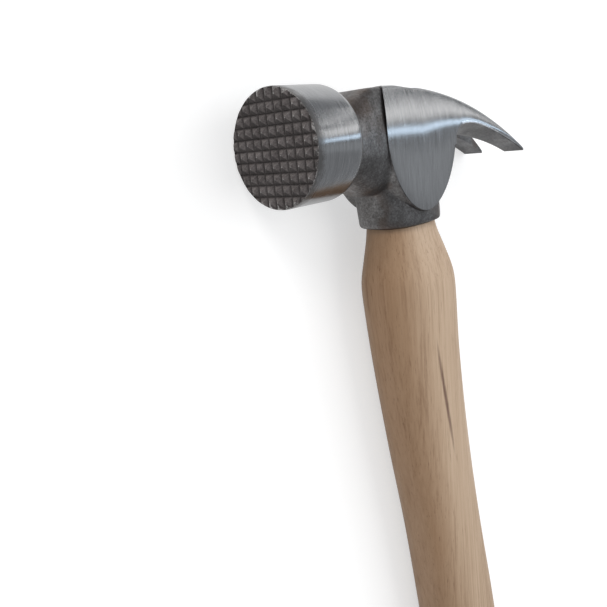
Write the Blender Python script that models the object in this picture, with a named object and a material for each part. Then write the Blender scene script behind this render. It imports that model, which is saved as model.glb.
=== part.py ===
# Framing hammer: a forged rip-claw head with a milled face on a curved hickory handle,
# held in the eye by a wooden wedge and two steel wedges.
#
# Head frame used while shaping: X from the striking face to the claw, Y across the cheeks,
# Z up the handle to the crown, zero at the centre of the striking face.

import math

import bmesh
import bpy
from mathutils import Matrix, Vector

MM = 0.001

# Fits
EYE_GAP = 0.3 * MM
WEDGE_GAP = 0.3 * MM

# Striking end
FACE_DIAMETER = 38.0 * MM
FACE_CHAMFER = 1.7 * MM
BARREL_LENGTH = 19.7 * MM
SHOULDER_RADIUS = 5.0 * MM
TOOTH_PITCH = 3.665 * MM
TOOTH_DEPTH = 1.4 * MM
TOOTH_FLAT = 0.4 * MM
TOOTH_RUNOUT = 1.1 * MM

# Neck between the barrel and the cheeks
NECK_WIDTH = 27.2 * MM
NECK_TOP = 12.2 * MM
NECK_DROP = 13.4 * MM
NECK_FLAT = 4.0 * MM
NECK_STEP = 0.3 * MM
NECK_ROLL = 11.6 * MM
NECK_BELLY = 0.7 * MM
NECK_ROOT_DROP = 20.0 * MM

# Eye and handle line
EYE_X = 60.8 * MM
EYE_LEAN = 0.078
TENON_DEPTH = 27.6 * MM
TENON_WIDTH = 18.3 * MM
TENON_FLARE = 1.0 * MM
TENON_SET = 1.8 * MM
HANDLE_ROUNDNESS = 2.6

# Cheeks and crown
CHEEK_LENGTH = 42.4 * MM
CHEEK_WIDTH = 28.4 * MM
CHEEK_DROP = 28.4 * MM
CHEEK_POINT = 1.85
CROWN_HEIGHT = 16.8 * MM
CROWN_FLAT = 15.0 * MM
CROWN_ROLL = 12.8 * MM

# Collar round the lower end of the eye
COLLAR_WALL = 3.0 * MM
COLLAR_DROP = 33.2 * MM
COLLAR_EDGE = 0.6 * MM
COLLAR_SPREAD = 0.8 * MM

# Claw
CLAW_REACH = 136.0 * MM
CLAW_TOP_RADIUS = 154.0 * MM
CLAW_TOP_START = 46.0 * MM
CLAW_ROOT_THICKNESS = 14.0 * MM
CLAW_TIP_THICKNESS = 1.0 * MM
CLAW_TIP_WIDTH = 29.2 * MM
CLAW_TIP_FLAT = 28.2 * MM
CLAW_BEVEL = 0.3
CLAW_LAND = 0.15 * MM
CLAW_ROOT_FILLET = 5.0 * MM
CLAW_RIB = 6.2 * MM
SLOT_LENGTH = 38.0 * MM
SLOT_MOUTH = 10.4 * MM
SLOT_ROOT_RADIUS = 1.3 * MM
SLOT_FLARE = 0.4 * MM

# Wedges driven into the top of the tenon
KERF_DEPTH = 32.0 * MM
WOOD_WEDGE_DEPTH = 30.0 * MM
WOOD_WEDGE_LENGTH = 24.0 * MM
WOOD_WEDGE_TOP = 5.0 * MM
WOOD_WEDGE_TIP = 1.4 * MM
STEEL_WEDGE_DEPTH = 15.0 * MM
STEEL_WEDGE_WIDTH = 13.0 * MM
STEEL_WEDGE_TOP = 2.6 * MM
STEEL_WEDGE_TIP = 0.8 * MM
STEEL_WEDGE_SPACING = 12.0 * MM

# Handle from the collar to the butt
HANDLE_LENGTH = 352.0 * MM

# Handle sections: distance under the collar, set-back behind the eye centre,
# depth fore and aft, width; the grip and the knob are placed from the butt
HANDLE_LINE = (
    (0.0 * MM, 0.0 * MM, 29.2 * MM, 20.6 * MM),
    (4.0 * MM, 0.4 * MM, 31.0 * MM, 21.6 * MM),
    (12.0 * MM, 1.4 * MM, 36.0 * MM, 25.0 * MM),
    (20.0 * MM, 2.1 * MM, 40.4 * MM, 28.2 * MM),
    (27.0 * MM, 2.6 * MM, 41.4 * MM, 29.0 * MM),
    (55.0 * MM, 4.2 * MM, 39.8 * MM, 27.8 * MM),
    (93.0 * MM, 8.4 * MM, 38.0 * MM, 26.8 * MM),
    (134.0 * MM, 14.5 * MM, 37.2 * MM, 26.2 * MM),
    (184.0 * MM, 21.8 * MM, 38.8 * MM, 27.4 * MM),
    (HANDLE_LENGTH - 127.0 * MM, 26.8 * MM, 40.0 * MM, 28.0 * MM),
    (HANDLE_LENGTH - 82.0 * MM, 30.2 * MM, 38.6 * MM, 27.4 * MM),
    (HANDLE_LENGTH - 47.0 * MM, 30.8 * MM, 38.4 * MM, 27.6 * MM),
    (HANDLE_LENGTH - 17.0 * MM, 29.2 * MM, 43.4 * MM, 30.6 * MM),
    (HANDLE_LENGTH, 27.2 * MM, 43.0 * MM, 30.4 * MM),
)
BUTT_ROUND = 3.0 * MM

# Fineness of the round surfaces
BARREL_SIDES = 64
OVAL_SIDES = 40
HANDLE_SIDES = 36
CHEEK_STEPS = 22
CLAW_STEPS = 14
ROLL_STEPS = 6
HANDLE_STEP = 9.0 * MM
ROUND_STEPS = 6


def eye_centre(z):
    """Fore-and-aft place of the eye axis at height z."""
    return EYE_X - EYE_LEAN * z


def crown_z(x):
    """Height of the crown line, level at first and then falling along the claw."""
    run = max(0.0, x - CLAW_TOP_START)
    return CROWN_HEIGHT - CLAW_TOP_RADIUS + math.sqrt(CLAW_TOP_RADIUS ** 2 - run ** 2)


TENON_TOP = crown_z(EYE_X) - TENON_SET
CHEEK_X = eye_centre(-CHEEK_DROP / 2)
CHEEK_FRONT = CHEEK_X - CHEEK_LENGTH / 2
CHEEK_REAR = CHEEK_X + CHEEK_LENGTH / 2
HANDLE_TOP = -COLLAR_DROP - EYE_GAP
HANDLE_FOOT = HANDLE_TOP - HANDLE_LENGTH


def blend(a, b, t):
    """Straight mix of two values."""
    return a + (b - a) * t


def power(value, exponent):
    """Signed power, for superellipses."""
    return math.copysign(abs(value) ** exponent, value)


def oval(half_a, half_b, roundness, sides):
    """Points of a superellipse as pairs."""
    turns = [2 * math.pi * i / sides for i in range(sides)]
    e = 2 / roundness
    return [(half_a * power(math.cos(t), e), half_b * power(math.sin(t), e)) for t in turns]


def loft(name, rings, smooth=True):
    """Closed body through a row of point rings, capped at both ends."""
    bm = bmesh.new()
    rows = [[bm.verts.new(p) for p in ring] for ring in rings]
    count = len(rows[0])
    for low, high in zip(rows, rows[1:]):
        for i in range(count):
            j = (i + 1) % count
            bm.faces.new((low[i], low[j], high[j], high[i]))
    bm.faces.new(rows[0])
    bm.faces.new(rows[-1])
    bmesh.ops.recalc_face_normals(bm, faces=bm.faces)
    mesh = bpy.data.meshes.new(name)
    bm.to_mesh(mesh)
    bm.free()
    if smooth:
        mesh.shade_smooth()
        mesh.set_sharp_from_angle(angle=math.radians(35))
    body = bpy.data.objects.new(name, mesh)
    bpy.context.scene.collection.objects.link(body)
    return body


def guide(body):
    """Mark a body as a guide that shapes another."""
    body.hide_render = True
    body.display_type = "WIRE"
    return body


def shape(body, operation, tool):
    """Join a tool to a body, cut it away or keep what they share."""
    step = body.modifiers.new(tool.name, "BOOLEAN")
    step.operation = operation
    step.solver = "EXACT"
    step.object = guide(tool)


def finish(body, colour, roughness, metallic):
    """Give a body its own material."""
    material = bpy.data.materials.new(body.name)
    material.use_nodes = True
    shader = material.node_tree.nodes["Principled BSDF"]
    shader.inputs["Base Color"].default_value = (*colour, 1.0)
    shader.inputs["Roughness"].default_value = roughness
    shader.inputs["Metallic"].default_value = metallic
    body.data.materials.append(material)


# Head

def barrel():
    """Striking barrel, turned about X, with a rounded rear shoulder."""
    radius = FACE_DIAMETER / 2
    profile = [(0.0, radius - FACE_CHAMFER), (FACE_CHAMFER, radius)]
    for i in range(ROUND_STEPS + 1):
        turn = math.pi / 2 * i / ROUND_STEPS
        x = BARREL_LENGTH + SHOULDER_RADIUS * math.sin(turn)
        profile.append((x, radius - SHOULDER_RADIUS * (1 - math.cos(turn))))
    rings = []
    for x, r in profile:
        rings.append([(x, y, z) for y, z in oval(r, r, 2, BARREL_SIDES)])
    return loft("hammer_head", rings)


def roll(half, flat, side, top):
    """Rounded corner of a section, from its side to its flat top or bottom."""
    turns = [math.pi / 2 * i / ROLL_STEPS for i in range(ROLL_STEPS + 1)]
    return [(blend(flat, half, math.cos(t)), blend(side, top, math.sin(t))) for t in turns]


def neck():
    """Neck from inside the barrel to inside the cheeks, flaring until it meets them."""
    waist = BARREL_LENGTH + SHOULDER_RADIUS
    steps = 2 * ROUND_STEPS
    stations = [(BARREL_LENGTH / 2, 0.0)]
    for i in range(steps + 1):
        stations.append((blend(waist, CHEEK_FRONT, i / steps), i / steps))
    stations.append((CHEEK_FRONT + CHEEK_LENGTH / 6, 1.0))
    rings = []
    for x, t in stations:
        flare = t * t * (3 - 2 * t)
        half = blend(NECK_WIDTH / 2, CHEEK_WIDTH / 2 - NECK_STEP, flare)
        flat = blend(NECK_FLAT, CROWN_FLAT, flare) / 2
        top = blend(NECK_TOP, CROWN_HEIGHT - NECK_STEP, flare)
        low = -blend(NECK_DROP, NECK_ROOT_DROP, flare)
        high = roll(half, flat, top - blend(NECK_ROLL, CROWN_ROLL, flare), top)
        deep = roll(half, NECK_FLAT / 2, -NECK_BELLY, low)
        ring = high + [(-y, z) for y, z in reversed(high)]
        ring += [(-y, z) for y, z in deep] + list(reversed(deep))
        rings.append([(x, y, z) for y, z in ring])
    return loft("neck", rings)


def claw_thickness(x):
    """Thickness of the claw, from its root behind the cheeks to its tip."""
    t = min(1.0, max(0.0, (x - CHEEK_REAR) / (CLAW_REACH - CHEEK_REAR)))
    return blend(CLAW_TIP_THICKNESS, CLAW_ROOT_THICKNESS, 1 - t)


def root_fillet(x):
    """Drop of the fillet that rounds the rear of the cheeks into the claw."""
    if x < CHEEK_X:
        return 0.0
    run = min(1.0, max(0.0, (x - CHEEK_REAR) / CLAW_ROOT_FILLET))
    return CLAW_ROOT_FILLET * (1 - math.sqrt(1 - (1 - run) ** 2))


def under_z(x):
    """Underside: the rounded lower outline of the cheeks, running out into the claw."""
    claw = crown_z(x) - claw_thickness(x) - root_fillet(x)
    off = abs(x - CHEEK_X) / (CHEEK_LENGTH / 2)
    if off >= 1:
        return claw
    cheek = -CHEEK_DROP * (1 - off ** CHEEK_POINT) ** (1 / CHEEK_POINT)
    return min(claw, cheek)


def bevel(x):
    """Share of the claw's thickness taken off its outer lower edge; none at the cheeks and the tip."""
    t = min(1.0, max(0.0, (x - CHEEK_REAR) / (CLAW_REACH - CHEEK_REAR)))
    return CLAW_BEVEL * math.sin(math.pi * t ** 0.6)


def cheeks_and_claw():
    """Flat cheeks, rolled crown and curved claw as one run of sections along X."""
    places = []
    for i in range(CHEEK_STEPS + 1):
        places.append(CHEEK_X - CHEEK_LENGTH / 2 * math.cos(math.pi * i / CHEEK_STEPS))
    for i in range(1, ROUND_STEPS):
        places.append(CHEEK_REAR + CLAW_ROOT_FILLET * (1 - math.cos(math.pi / 2 * i / ROUND_STEPS)))
    for i in range(CLAW_STEPS + 1):
        places.append(blend(CHEEK_REAR + CLAW_ROOT_FILLET, CLAW_REACH, i / CLAW_STEPS))
    rings = []
    for x in places:
        t = max(0.0, (x - EYE_X) / (CLAW_REACH - EYE_X))
        half = blend(CHEEK_WIDTH, CLAW_TIP_WIDTH, t ** 2) / 2
        flat = blend(CROWN_FLAT, CLAW_TIP_FLAT, t) / 2
        top = crown_z(x)
        low = under_z(x)
        ridge = blend(low, top, bevel(x))
        side = max(top - CROWN_ROLL * (1 - t) ** 1.2, ridge + CLAW_LAND)
        edge = [(CLAW_RIB, low), (half, ridge)] + roll(half, flat, side, top)
        ring = edge + [(-y, z) for y, z in reversed(edge)]
        rings.append([(x, y, z) for y, z in ring])
    return loft("cheeks_and_claw", rings)


def tenon_half(z):
    """Half depth and half width of the tenon, a little larger towards its top."""
    t = min(1.0, max(0.0, z / TENON_TOP))
    return TENON_DEPTH / 2 + TENON_FLARE * t, TENON_WIDTH / 2 + TENON_FLARE * t


def eye_rings(heights, grow):
    """Oval rings that follow the tenon, grown by a fit or a wall."""
    rings = []
    for z in heights:
        a, b = tenon_half(z)
        section = oval(a + grow, b + grow, HANDLE_ROUNDNESS, OVAL_SIDES)
        rings.append([(eye_centre(z) + x, y, z) for x, y in section])
    return rings


def collar():
    """Oval collar round the lower end of the eye."""
    wall = EYE_GAP + COLLAR_WALL
    heights = (0.0, -COLLAR_DROP + COLLAR_EDGE, -COLLAR_DROP)
    spreads = (COLLAR_SPREAD, 0.0, -COLLAR_EDGE)
    rings = []
    for z, spread in zip(heights, spreads):
        rings += eye_rings([z], wall + spread)
    return loft("collar", rings)


def eye():
    """Eye through the head."""
    past = 2 * CROWN_HEIGHT
    heights = (-COLLAR_DROP - past, 0.0, TENON_TOP, TENON_TOP + past)
    return loft("eye", eye_rings(heights, EYE_GAP))


def nail_slot():
    """Tapered slot between the two claws, rounded at its root."""
    root = CLAW_REACH - SLOT_LENGTH + SLOT_ROOT_RADIUS
    past = SLOT_MOUTH
    spread = (SLOT_MOUTH / 2 - SLOT_ROOT_RADIUS) / (CLAW_REACH - root)
    mouth = SLOT_MOUTH / 2 + spread * past
    rings = []
    for z, grow in ((-2 * CROWN_HEIGHT, SLOT_FLARE), (2 * CROWN_HEIGHT, 0.0)):
        ring = [(CLAW_REACH + past, -mouth - grow, z)]
        for i in range(2 * ROUND_STEPS + 1):
            turn = math.pi * (1.5 - i / (2 * ROUND_STEPS))
            reach = SLOT_ROOT_RADIUS + grow
            ring.append((root + reach * math.cos(turn), reach * math.sin(turn), z))
        ring.append((CLAW_REACH + past, mouth + grow, z))
        rings.append(ring)
    return loft("nail_slot", rings, smooth=False)


def tooth_field():
    """Round field inside the rim of the face, where the grooves run out."""
    radius = FACE_DIAMETER / 2 - FACE_CHAMFER + TOOTH_RUNOUT
    rings = []
    for x in (-4 * TOOTH_DEPTH, 4 * TOOTH_DEPTH):
        rings.append([(x, y, z) for y, z in oval(radius, radius, 2, BARREL_SIDES)])
    return loft("tooth_field", rings)


def grooves(name, across, shift, over):
    """Parallel V grooves over the face, stacked along Z or along Y, standing clear of it by over."""
    reach = FACE_DIAMETER
    half = (TOOTH_PITCH - TOOTH_FLAT) / 2
    count = int(FACE_DIAMETER / 2 / TOOTH_PITCH) + 1
    bm = bmesh.new()
    for i in range(-count, count + 1):
        at = (i + shift) * TOOTH_PITCH
        if abs(at) > FACE_DIAMETER / 2 - FACE_CHAMFER:
            continue
        corners = [(TOOTH_DEPTH, at), (0.0, at + half), (-over, at + half)]
        corners += [(-over, at - half), (0.0, at - half)]
        ends = []
        for far in (-reach, reach):
            if across == "Z":
                ends.append([bm.verts.new((x, far, s)) for x, s in corners])
            else:
                ends.append([bm.verts.new((x, s, far)) for x, s in corners])
        low, high = ends
        bm.faces.new(low)
        bm.faces.new(high)
        for k in range(len(corners)):
            n = (k + 1) % len(corners)
            bm.faces.new((low[k], low[n], high[n], high[k]))
    bmesh.ops.recalc_face_normals(bm, faces=bm.faces)
    mesh = bpy.data.meshes.new(name)
    bm.to_mesh(mesh)
    bm.free()
    body = bpy.data.objects.new(name, mesh)
    bpy.context.scene.collection.objects.link(body)
    return body


def milling():
    """Both rows of grooves, ended at the rim of the face."""
    body = grooves("level_grooves", "Z", 0.0, TOOTH_DEPTH)
    shape(body, "UNION", grooves("upright_grooves", "Y", 0.5, 2 * TOOTH_DEPTH))
    shape(body, "INTERSECT", tooth_field())
    return body


# Handle and wedges

def along(rows, s):
    """Smooth value of each column of a table at distance s down it."""
    k = max(i for i in range(len(rows) - 1) if rows[i][0] <= s or i == 0)
    a, b = rows[k], rows[k + 1]
    before = rows[max(k - 1, 0)]
    after = rows[min(k + 2, len(rows) - 1)]
    span = b[0] - a[0]
    t = (s - a[0]) / span
    values = []
    for c in range(1, len(a)):
        slope_a = (b[c] - before[c]) / (b[0] - before[0]) * span
        slope_b = (after[c] - a[c]) / (after[0] - a[0]) * span
        lead = (2 * t ** 3 - 3 * t ** 2 + 1) * a[c] + (t ** 3 - 2 * t ** 2 + t) * slope_a
        values.append(lead + (3 * t ** 2 - 2 * t ** 3) * b[c] + (t ** 3 - t ** 2) * slope_b)
    return values


def handle_ring(s, inset=0.0):
    """Section of the handle at distance s below the collar."""
    back, depth, width = along(HANDLE_LINE, s)
    section = oval(depth / 2 - inset, width / 2 - inset, HANDLE_ROUNDNESS, HANDLE_SIDES)
    return [(eye_centre(HANDLE_TOP) + back + x, y, HANDLE_TOP - s) for x, y in section]


def handle():
    """Handle from the top of the tenon to the rounded butt."""
    rings = []
    for z in (TENON_TOP, TENON_TOP / 2, 0.0, HANDLE_TOP):
        a, b = tenon_half(z)
        section = oval(a, b, HANDLE_ROUNDNESS, HANDLE_SIDES)
        rings.append([(eye_centre(z) + x, y, z) for x, y in section])
    straight = HANDLE_LENGTH - BUTT_ROUND
    steps = math.ceil(straight / HANDLE_STEP)
    for i in range(steps + 1):
        rings.append(handle_ring(straight * i / steps))
    for i in range(1, ROUND_STEPS + 1):
        turn = math.pi / 2 * i / ROUND_STEPS
        rings.append(handle_ring(straight + BUTT_ROUND * math.sin(turn), BUTT_ROUND * (1 - math.cos(turn))))
    return loft("handle", rings)


def wedge(name, middle, top, tip, depth, reach, lengthwise, grow=0.0, past=0.0):
    """Wedge let into the tenon from its top, thin at its lower end."""
    rings = []
    for down, thick in ((-past, top), (depth + grow, tip)):
        z = TENON_TOP - down
        half = thick / 2 + grow
        long = reach / 2 + grow
        a, b = (long, half) if lengthwise else (half, long)
        corners = ((-a, -b), (a, -b), (a, b), (-a, b))
        rings.append([(eye_centre(z) + middle + x, y, z) for x, y in corners])
    return loft(name, rings, smooth=False)


def wooden_wedge(name, grow=0.0, past=0.0):
    """Wooden wedge along the eye, or the kerf that takes it."""
    reach = WOOD_WEDGE_LENGTH if past == 0 else 2 * TENON_DEPTH
    depth = WOOD_WEDGE_DEPTH if past == 0 else KERF_DEPTH
    return wedge(name, 0.0, WOOD_WEDGE_TOP, WOOD_WEDGE_TIP, depth, reach, True, grow, past)


def steel_wedge(name, side, grow=0.0, past=0.0):
    """Steel wedge across the wooden one, or the slit that takes it."""
    middle = side * STEEL_WEDGE_SPACING / 2
    return wedge(name, middle, STEEL_WEDGE_TOP, STEEL_WEDGE_TIP, STEEL_WEDGE_DEPTH,
                 STEEL_WEDGE_WIDTH, False, grow, past)


def rest_turn():
    """Turn that lays the hammer on its far side: barrel edge, claw corner and knob on the floor."""
    lying = Matrix(((0, 0, -1), (1, 0, 0), (0, -1, 0)))
    knob = max(range(len(HANDLE_LINE)), key=lambda i: HANDLE_LINE[i][3] * (i >= len(HANDLE_LINE) // 2))
    s, back, _, width = HANDLE_LINE[knob]
    barrel_edge = lying @ Vector((BARREL_LENGTH, FACE_DIAMETER / 2, 0.0))
    claw_corner = lying @ Vector((CLAW_REACH, CLAW_TIP_WIDTH / 2, under_z(CLAW_REACH)))
    knob_side = lying @ Vector((eye_centre(HANDLE_TOP) + back, width / 2, HANDLE_TOP - s))
    normal = (claw_corner - barrel_edge).cross(knob_side - barrel_edge)
    if normal.z < 0:
        normal.negate()
    level = normal.rotation_difference(Vector((0, 0, 1))).to_matrix()
    return (level @ lying).to_4x4()


def box_of(bodies):
    """Corners of the box round the finished bodies."""
    graph = bpy.context.evaluated_depsgraph_get()
    points = []
    for body in bodies:
        solid = body.evaluated_get(graph)
        points += [solid.matrix_world @ v.co for v in solid.data.vertices]
    low = Vector([min(p[i] for p in points) for i in range(3)])
    high = Vector([max(p[i] for p in points) for i in range(3)])
    return low, high


def main():
    for old in list(bpy.data.objects):
        bpy.data.objects.remove(old, do_unlink=True)

    head = barrel()
    shape(head, "UNION", neck())
    shape(head, "UNION", cheeks_and_claw())
    shape(head, "UNION", collar())
    shape(head, "DIFFERENCE", eye())
    shape(head, "DIFFERENCE", nail_slot())
    shape(head, "DIFFERENCE", milling())

    grip = handle()
    wood = wooden_wedge("wooden_wedge")
    front = steel_wedge("steel_wedge_front", -1)
    rear = steel_wedge("steel_wedge_rear", 1)
    past = TENON_SET + WEDGE_GAP
    shape(grip, "DIFFERENCE", wooden_wedge("kerf", WEDGE_GAP, past))
    for body in (grip, wood):
        for side, word in ((-1, "front"), (1, "rear")):
            slit = steel_wedge("slit_" + word + "_" + body.name, side, WEDGE_GAP, past)
            shape(body, "DIFFERENCE", slit)

    finish(head, (0.42, 0.43, 0.45), 0.38, 1.0)
    finish(grip, (0.62, 0.44, 0.29), 0.55, 0.0)
    finish(wood, (0.50, 0.34, 0.20), 0.60, 0.0)
    finish(front, (0.30, 0.30, 0.31), 0.50, 1.0)
    finish(rear, (0.30, 0.30, 0.31), 0.50, 1.0)

    rest = bpy.data.objects.new("rest", None)
    bpy.context.scene.collection.objects.link(rest)
    for body in list(bpy.data.objects):
        if body is not rest:
            body.parent = rest
    rest.matrix_world = rest_turn()
    bpy.context.view_layer.update()
    low, high = box_of((head, grip, wood, front, rear))
    middle = (low + high) / 2
    rest.location -= Vector((middle.x, middle.y, low.z))
    bpy.context.view_layer.update()


main()
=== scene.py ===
"""Dressed claw hammer: milled forged head, hickory handle and its wedges, lying on a pale floor."""

import logging
import math
from dataclasses import dataclass
from enum import Enum
from typing import Callable, Sequence

import bpy
from mathutils import Matrix, Vector


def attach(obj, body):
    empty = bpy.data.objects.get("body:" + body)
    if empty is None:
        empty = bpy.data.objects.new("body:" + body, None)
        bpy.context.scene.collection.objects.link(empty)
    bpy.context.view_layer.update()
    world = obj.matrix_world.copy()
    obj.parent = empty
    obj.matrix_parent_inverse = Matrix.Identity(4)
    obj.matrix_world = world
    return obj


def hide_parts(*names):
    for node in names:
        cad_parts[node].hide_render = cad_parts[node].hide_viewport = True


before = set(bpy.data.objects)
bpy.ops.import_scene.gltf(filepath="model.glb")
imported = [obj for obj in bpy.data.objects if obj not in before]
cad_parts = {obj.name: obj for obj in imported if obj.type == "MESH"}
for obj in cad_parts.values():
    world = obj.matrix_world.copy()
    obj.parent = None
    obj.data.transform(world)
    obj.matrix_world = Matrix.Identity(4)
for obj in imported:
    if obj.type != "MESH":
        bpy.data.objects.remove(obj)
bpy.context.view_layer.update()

Colour = tuple[float, float, float]
Point = tuple[float, float, float]
Pair = tuple[float, float]
Ring = list[Point]
Socket = bpy.types.NodeSocket
Piece = bpy.types.Object
Material = bpy.types.Material
Face = bpy.types.MeshPolygon

MM = 0.001
MERGE = 1e-6
TOOTH_PITCH = 3.665 * MM
TOOTH_DEPTH = 1.4 * MM
ROD_SIDES = 144
EYE_SIDES = 96
ROLL_STEPS = 16
LEAN_STEPS = 9
NOSE_STEPS = ROLL_STEPS - LEAN_STEPS
FRONT = "front_side"

log = logging.getLogger("hammer")


class Zone(Enum):
    """Finishes that meet on the hammer."""

    GROUND = "ground_steel"
    FORGED = "forged_steel"
    UNDER = "claw_underside"
    # Brighter steel along the claw ridge: partly a bright worn edge, partly a painted highlight
    EDGE = "bright_edge"
    TEETH = "tooth_steel"
    WORN = "worn_tooth_tops"
    WOOD = "hickory"
    END_GRAIN = "hickory_end_grain"
    WEDGE_WOOD = "wedge_wood"
    WEDGE_STEEL = "wedge_steel"


Finishes = dict[Zone, Material]


class Way(Enum):
    """Axes of the head, by their columns in its frame."""

    BACK = 0
    ACROSS = 1
    UP = 2


class Merge(Enum):
    """Ways to combine a piece with a tool."""

    JOIN = "UNION"
    CUT = "DIFFERENCE"
    SHARE = "INTERSECT"


# Node boards and finishes


@dataclass(frozen=True)
class Noise:
    """Noise over a surface: repeats per metre, shift, octaves, weight of the finer ones and distortion."""

    scale: Point
    shift: Point = (0.0, 0.0, 0.0)
    detail: float = 3.0
    rough: float = 0.55
    warp: float = 0.0


def even(repeats: float) -> Point:
    """The same repeats per metre along each axis."""
    return repeats, repeats, repeats


class Board:
    """A material's node tree with short ways to add the nodes that the finishes use."""

    # The Mix node repeats its socket names, so its colour sockets are known by number
    MIX_SHARE = 0
    MIX_FIRST = 6
    MIX_SECOND = 7
    MIX_RESULT = 2

    def __init__(self, name: str) -> None:
        """Start a Principled material.

        Args:
            name: Name of the material.
        """
        self.material = bpy.data.materials.new(name)
        self.material.use_nodes = True
        self.tree = self.material.node_tree
        self.shader = self.tree.nodes["Principled BSDF"]
        self.place = self.tree.nodes.new("ShaderNodeTexCoord").outputs["Object"]

    def link(self, source: Socket, target: Socket) -> None:
        """Join two sockets."""
        self.tree.links.new(source, target)

    def add(self, kind: str, values: dict[str, float | Point] | None = None) -> bpy.types.Node:
        """Add a node.

        Args:
            kind: Type of the node.
            values: Fixed values of its sockets, by name.

        Returns:
            The node.
        """
        node = self.tree.nodes.new(kind)
        for name, value in (values or {}).items():
            node.inputs[name].default_value = value
        return node

    def noise(self, spec: Noise) -> Socket:
        """Noise over the surface.

        Args:
            spec: Its sizes.

        Returns:
            Noise from 0 to 1.
        """
        place = self.add("ShaderNodeMapping", {"Scale": spec.scale, "Location": spec.shift})
        self.link(self.place, place.inputs["Vector"])
        sizes = {"Scale": 1.0, "Detail": spec.detail, "Roughness": spec.rough, "Distortion": spec.warp}
        node = self.add("ShaderNodeTexNoise", sizes)
        self.link(place.outputs["Vector"], node.inputs["Vector"])
        return node.outputs["Fac"]

    def ramp(self, value: Socket, stops: Sequence[tuple[float, Colour]]) -> Socket:
        """Colour ramp over a value.

        Args:
            value: What the ramp reads.
            stops: Place and colour of each stop.

        Returns:
            The colour.
        """
        node = self.add("ShaderNodeValToRGB")
        bar = node.color_ramp.elements
        while len(bar) < len(stops):
            bar.new(0.5)
        for stop, (at, colour) in zip(bar, stops):
            stop.position = at
            stop.color = (*colour, 1.0)
        self.link(value, node.inputs["Fac"])
        return node.outputs["Color"]

    def span(self, value: Socket, over: Pair, to: Pair) -> Socket:
        """Value moved from one range to another and held inside it.

        Args:
            value: What is moved.
            over: Where the old range starts and ends.
            to: Where the new range starts and ends.

        Returns:
            The moved value.
        """
        ends = {"From Min": over[0], "From Max": over[1], "To Min": to[0], "To Max": to[1]}
        node = self.add("ShaderNodeMapRange", ends)
        self.link(value, node.inputs["Value"])
        return node.outputs["Result"]

    def math(self, kind: str, first: Socket, second: Socket | float = 0.0) -> Socket:
        """Arithmetic on one or two values.

        Args:
            kind: Name of the operation.
            first: First value.
            second: Second value.

        Returns:
            The result.
        """
        node = self.add("ShaderNodeMath")
        node.operation = kind
        self.link(first, node.inputs[0])
        if isinstance(second, (int, float)):
            node.inputs[1].default_value = second
        else:
            self.link(second, node.inputs[1])
        return node.outputs["Value"]

    def weighed(self, *parts: tuple[Socket, float]) -> Socket:
        """Sum of values, each times its weight.

        Args:
            parts: Values and their weights.

        Returns:
            The sum.
        """
        total, *rest = [self.math("MULTIPLY", value, weight) for value, weight in parts]
        for term in rest:
            total = self.math("ADD", total, term)
        return total

    def mix(self, share: Socket, first: Socket, second: Colour, way: str = "MIX") -> Socket:
        """Mix of two colours.

        Args:
            share: How much of the second shows.
            first: First colour.
            second: Second colour.
            way: Blend type.

        Returns:
            The mixed colour.
        """
        node = self.add("ShaderNodeMix")
        node.data_type = "RGBA"
        node.blend_type = way
        self.link(share, node.inputs[self.MIX_SHARE])
        self.link(first, node.inputs[self.MIX_FIRST])
        node.inputs[self.MIX_SECOND].default_value = (*second, 1.0)
        return node.outputs[self.MIX_RESULT]

    def reading(self, pose: Matrix, way: Way) -> Socket:
        """Coordinate of the surface in the head's own frame.

        Args:
            pose: Head frame to floor frame.
            way: Axis that it is read along.

        Returns:
            Distance in metres.
        """
        axis = pose.to_3x3().col[way.value]
        node = self.add("ShaderNodeVectorMath")
        node.operation = "DOT_PRODUCT"
        self.link(self.place, node.inputs[0])
        node.inputs[1].default_value = axis
        return self.math("SUBTRACT", node.outputs["Value"], axis.dot(pose.translation))

    def bump(self, height: Socket, strength: float, depth: float) -> None:
        """Roughen the surface.

        Args:
            height: Height from 0 to 1.
            strength: Strength of the bump.
            depth: Depth in metres.
        """
        node = self.add("ShaderNodeBump", {"Strength": strength, "Distance": depth})
        self.link(height, node.inputs["Height"])
        self.link(node.outputs["Normal"], self.shader.inputs["Normal"])

    def brush(self, stretch: float) -> None:
        """Draw highlights out across the grinding lines, which run round the head.

        Args:
            stretch: How far, from 0 to 1.
        """
        across = self.add("ShaderNodeCombineXYZ", {"Y": 1.0})
        self.link(across.outputs["Vector"], self.shader.inputs["Tangent"])
        self.shader.inputs["Anisotropic"].default_value = stretch

    def wear(self, colour: Socket, rough: Socket, metallic: float) -> Material:
        """Join colour and roughness to the shader.

        Args:
            colour: Base colour.
            rough: Roughness.
            metallic: Metallic share.

        Returns:
            The finished material.
        """
        self.link(colour, self.shader.inputs["Base Color"])
        self.link(rough, self.shader.inputs["Roughness"])
        self.shader.inputs["Metallic"].default_value = metallic
        return self.material


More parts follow.
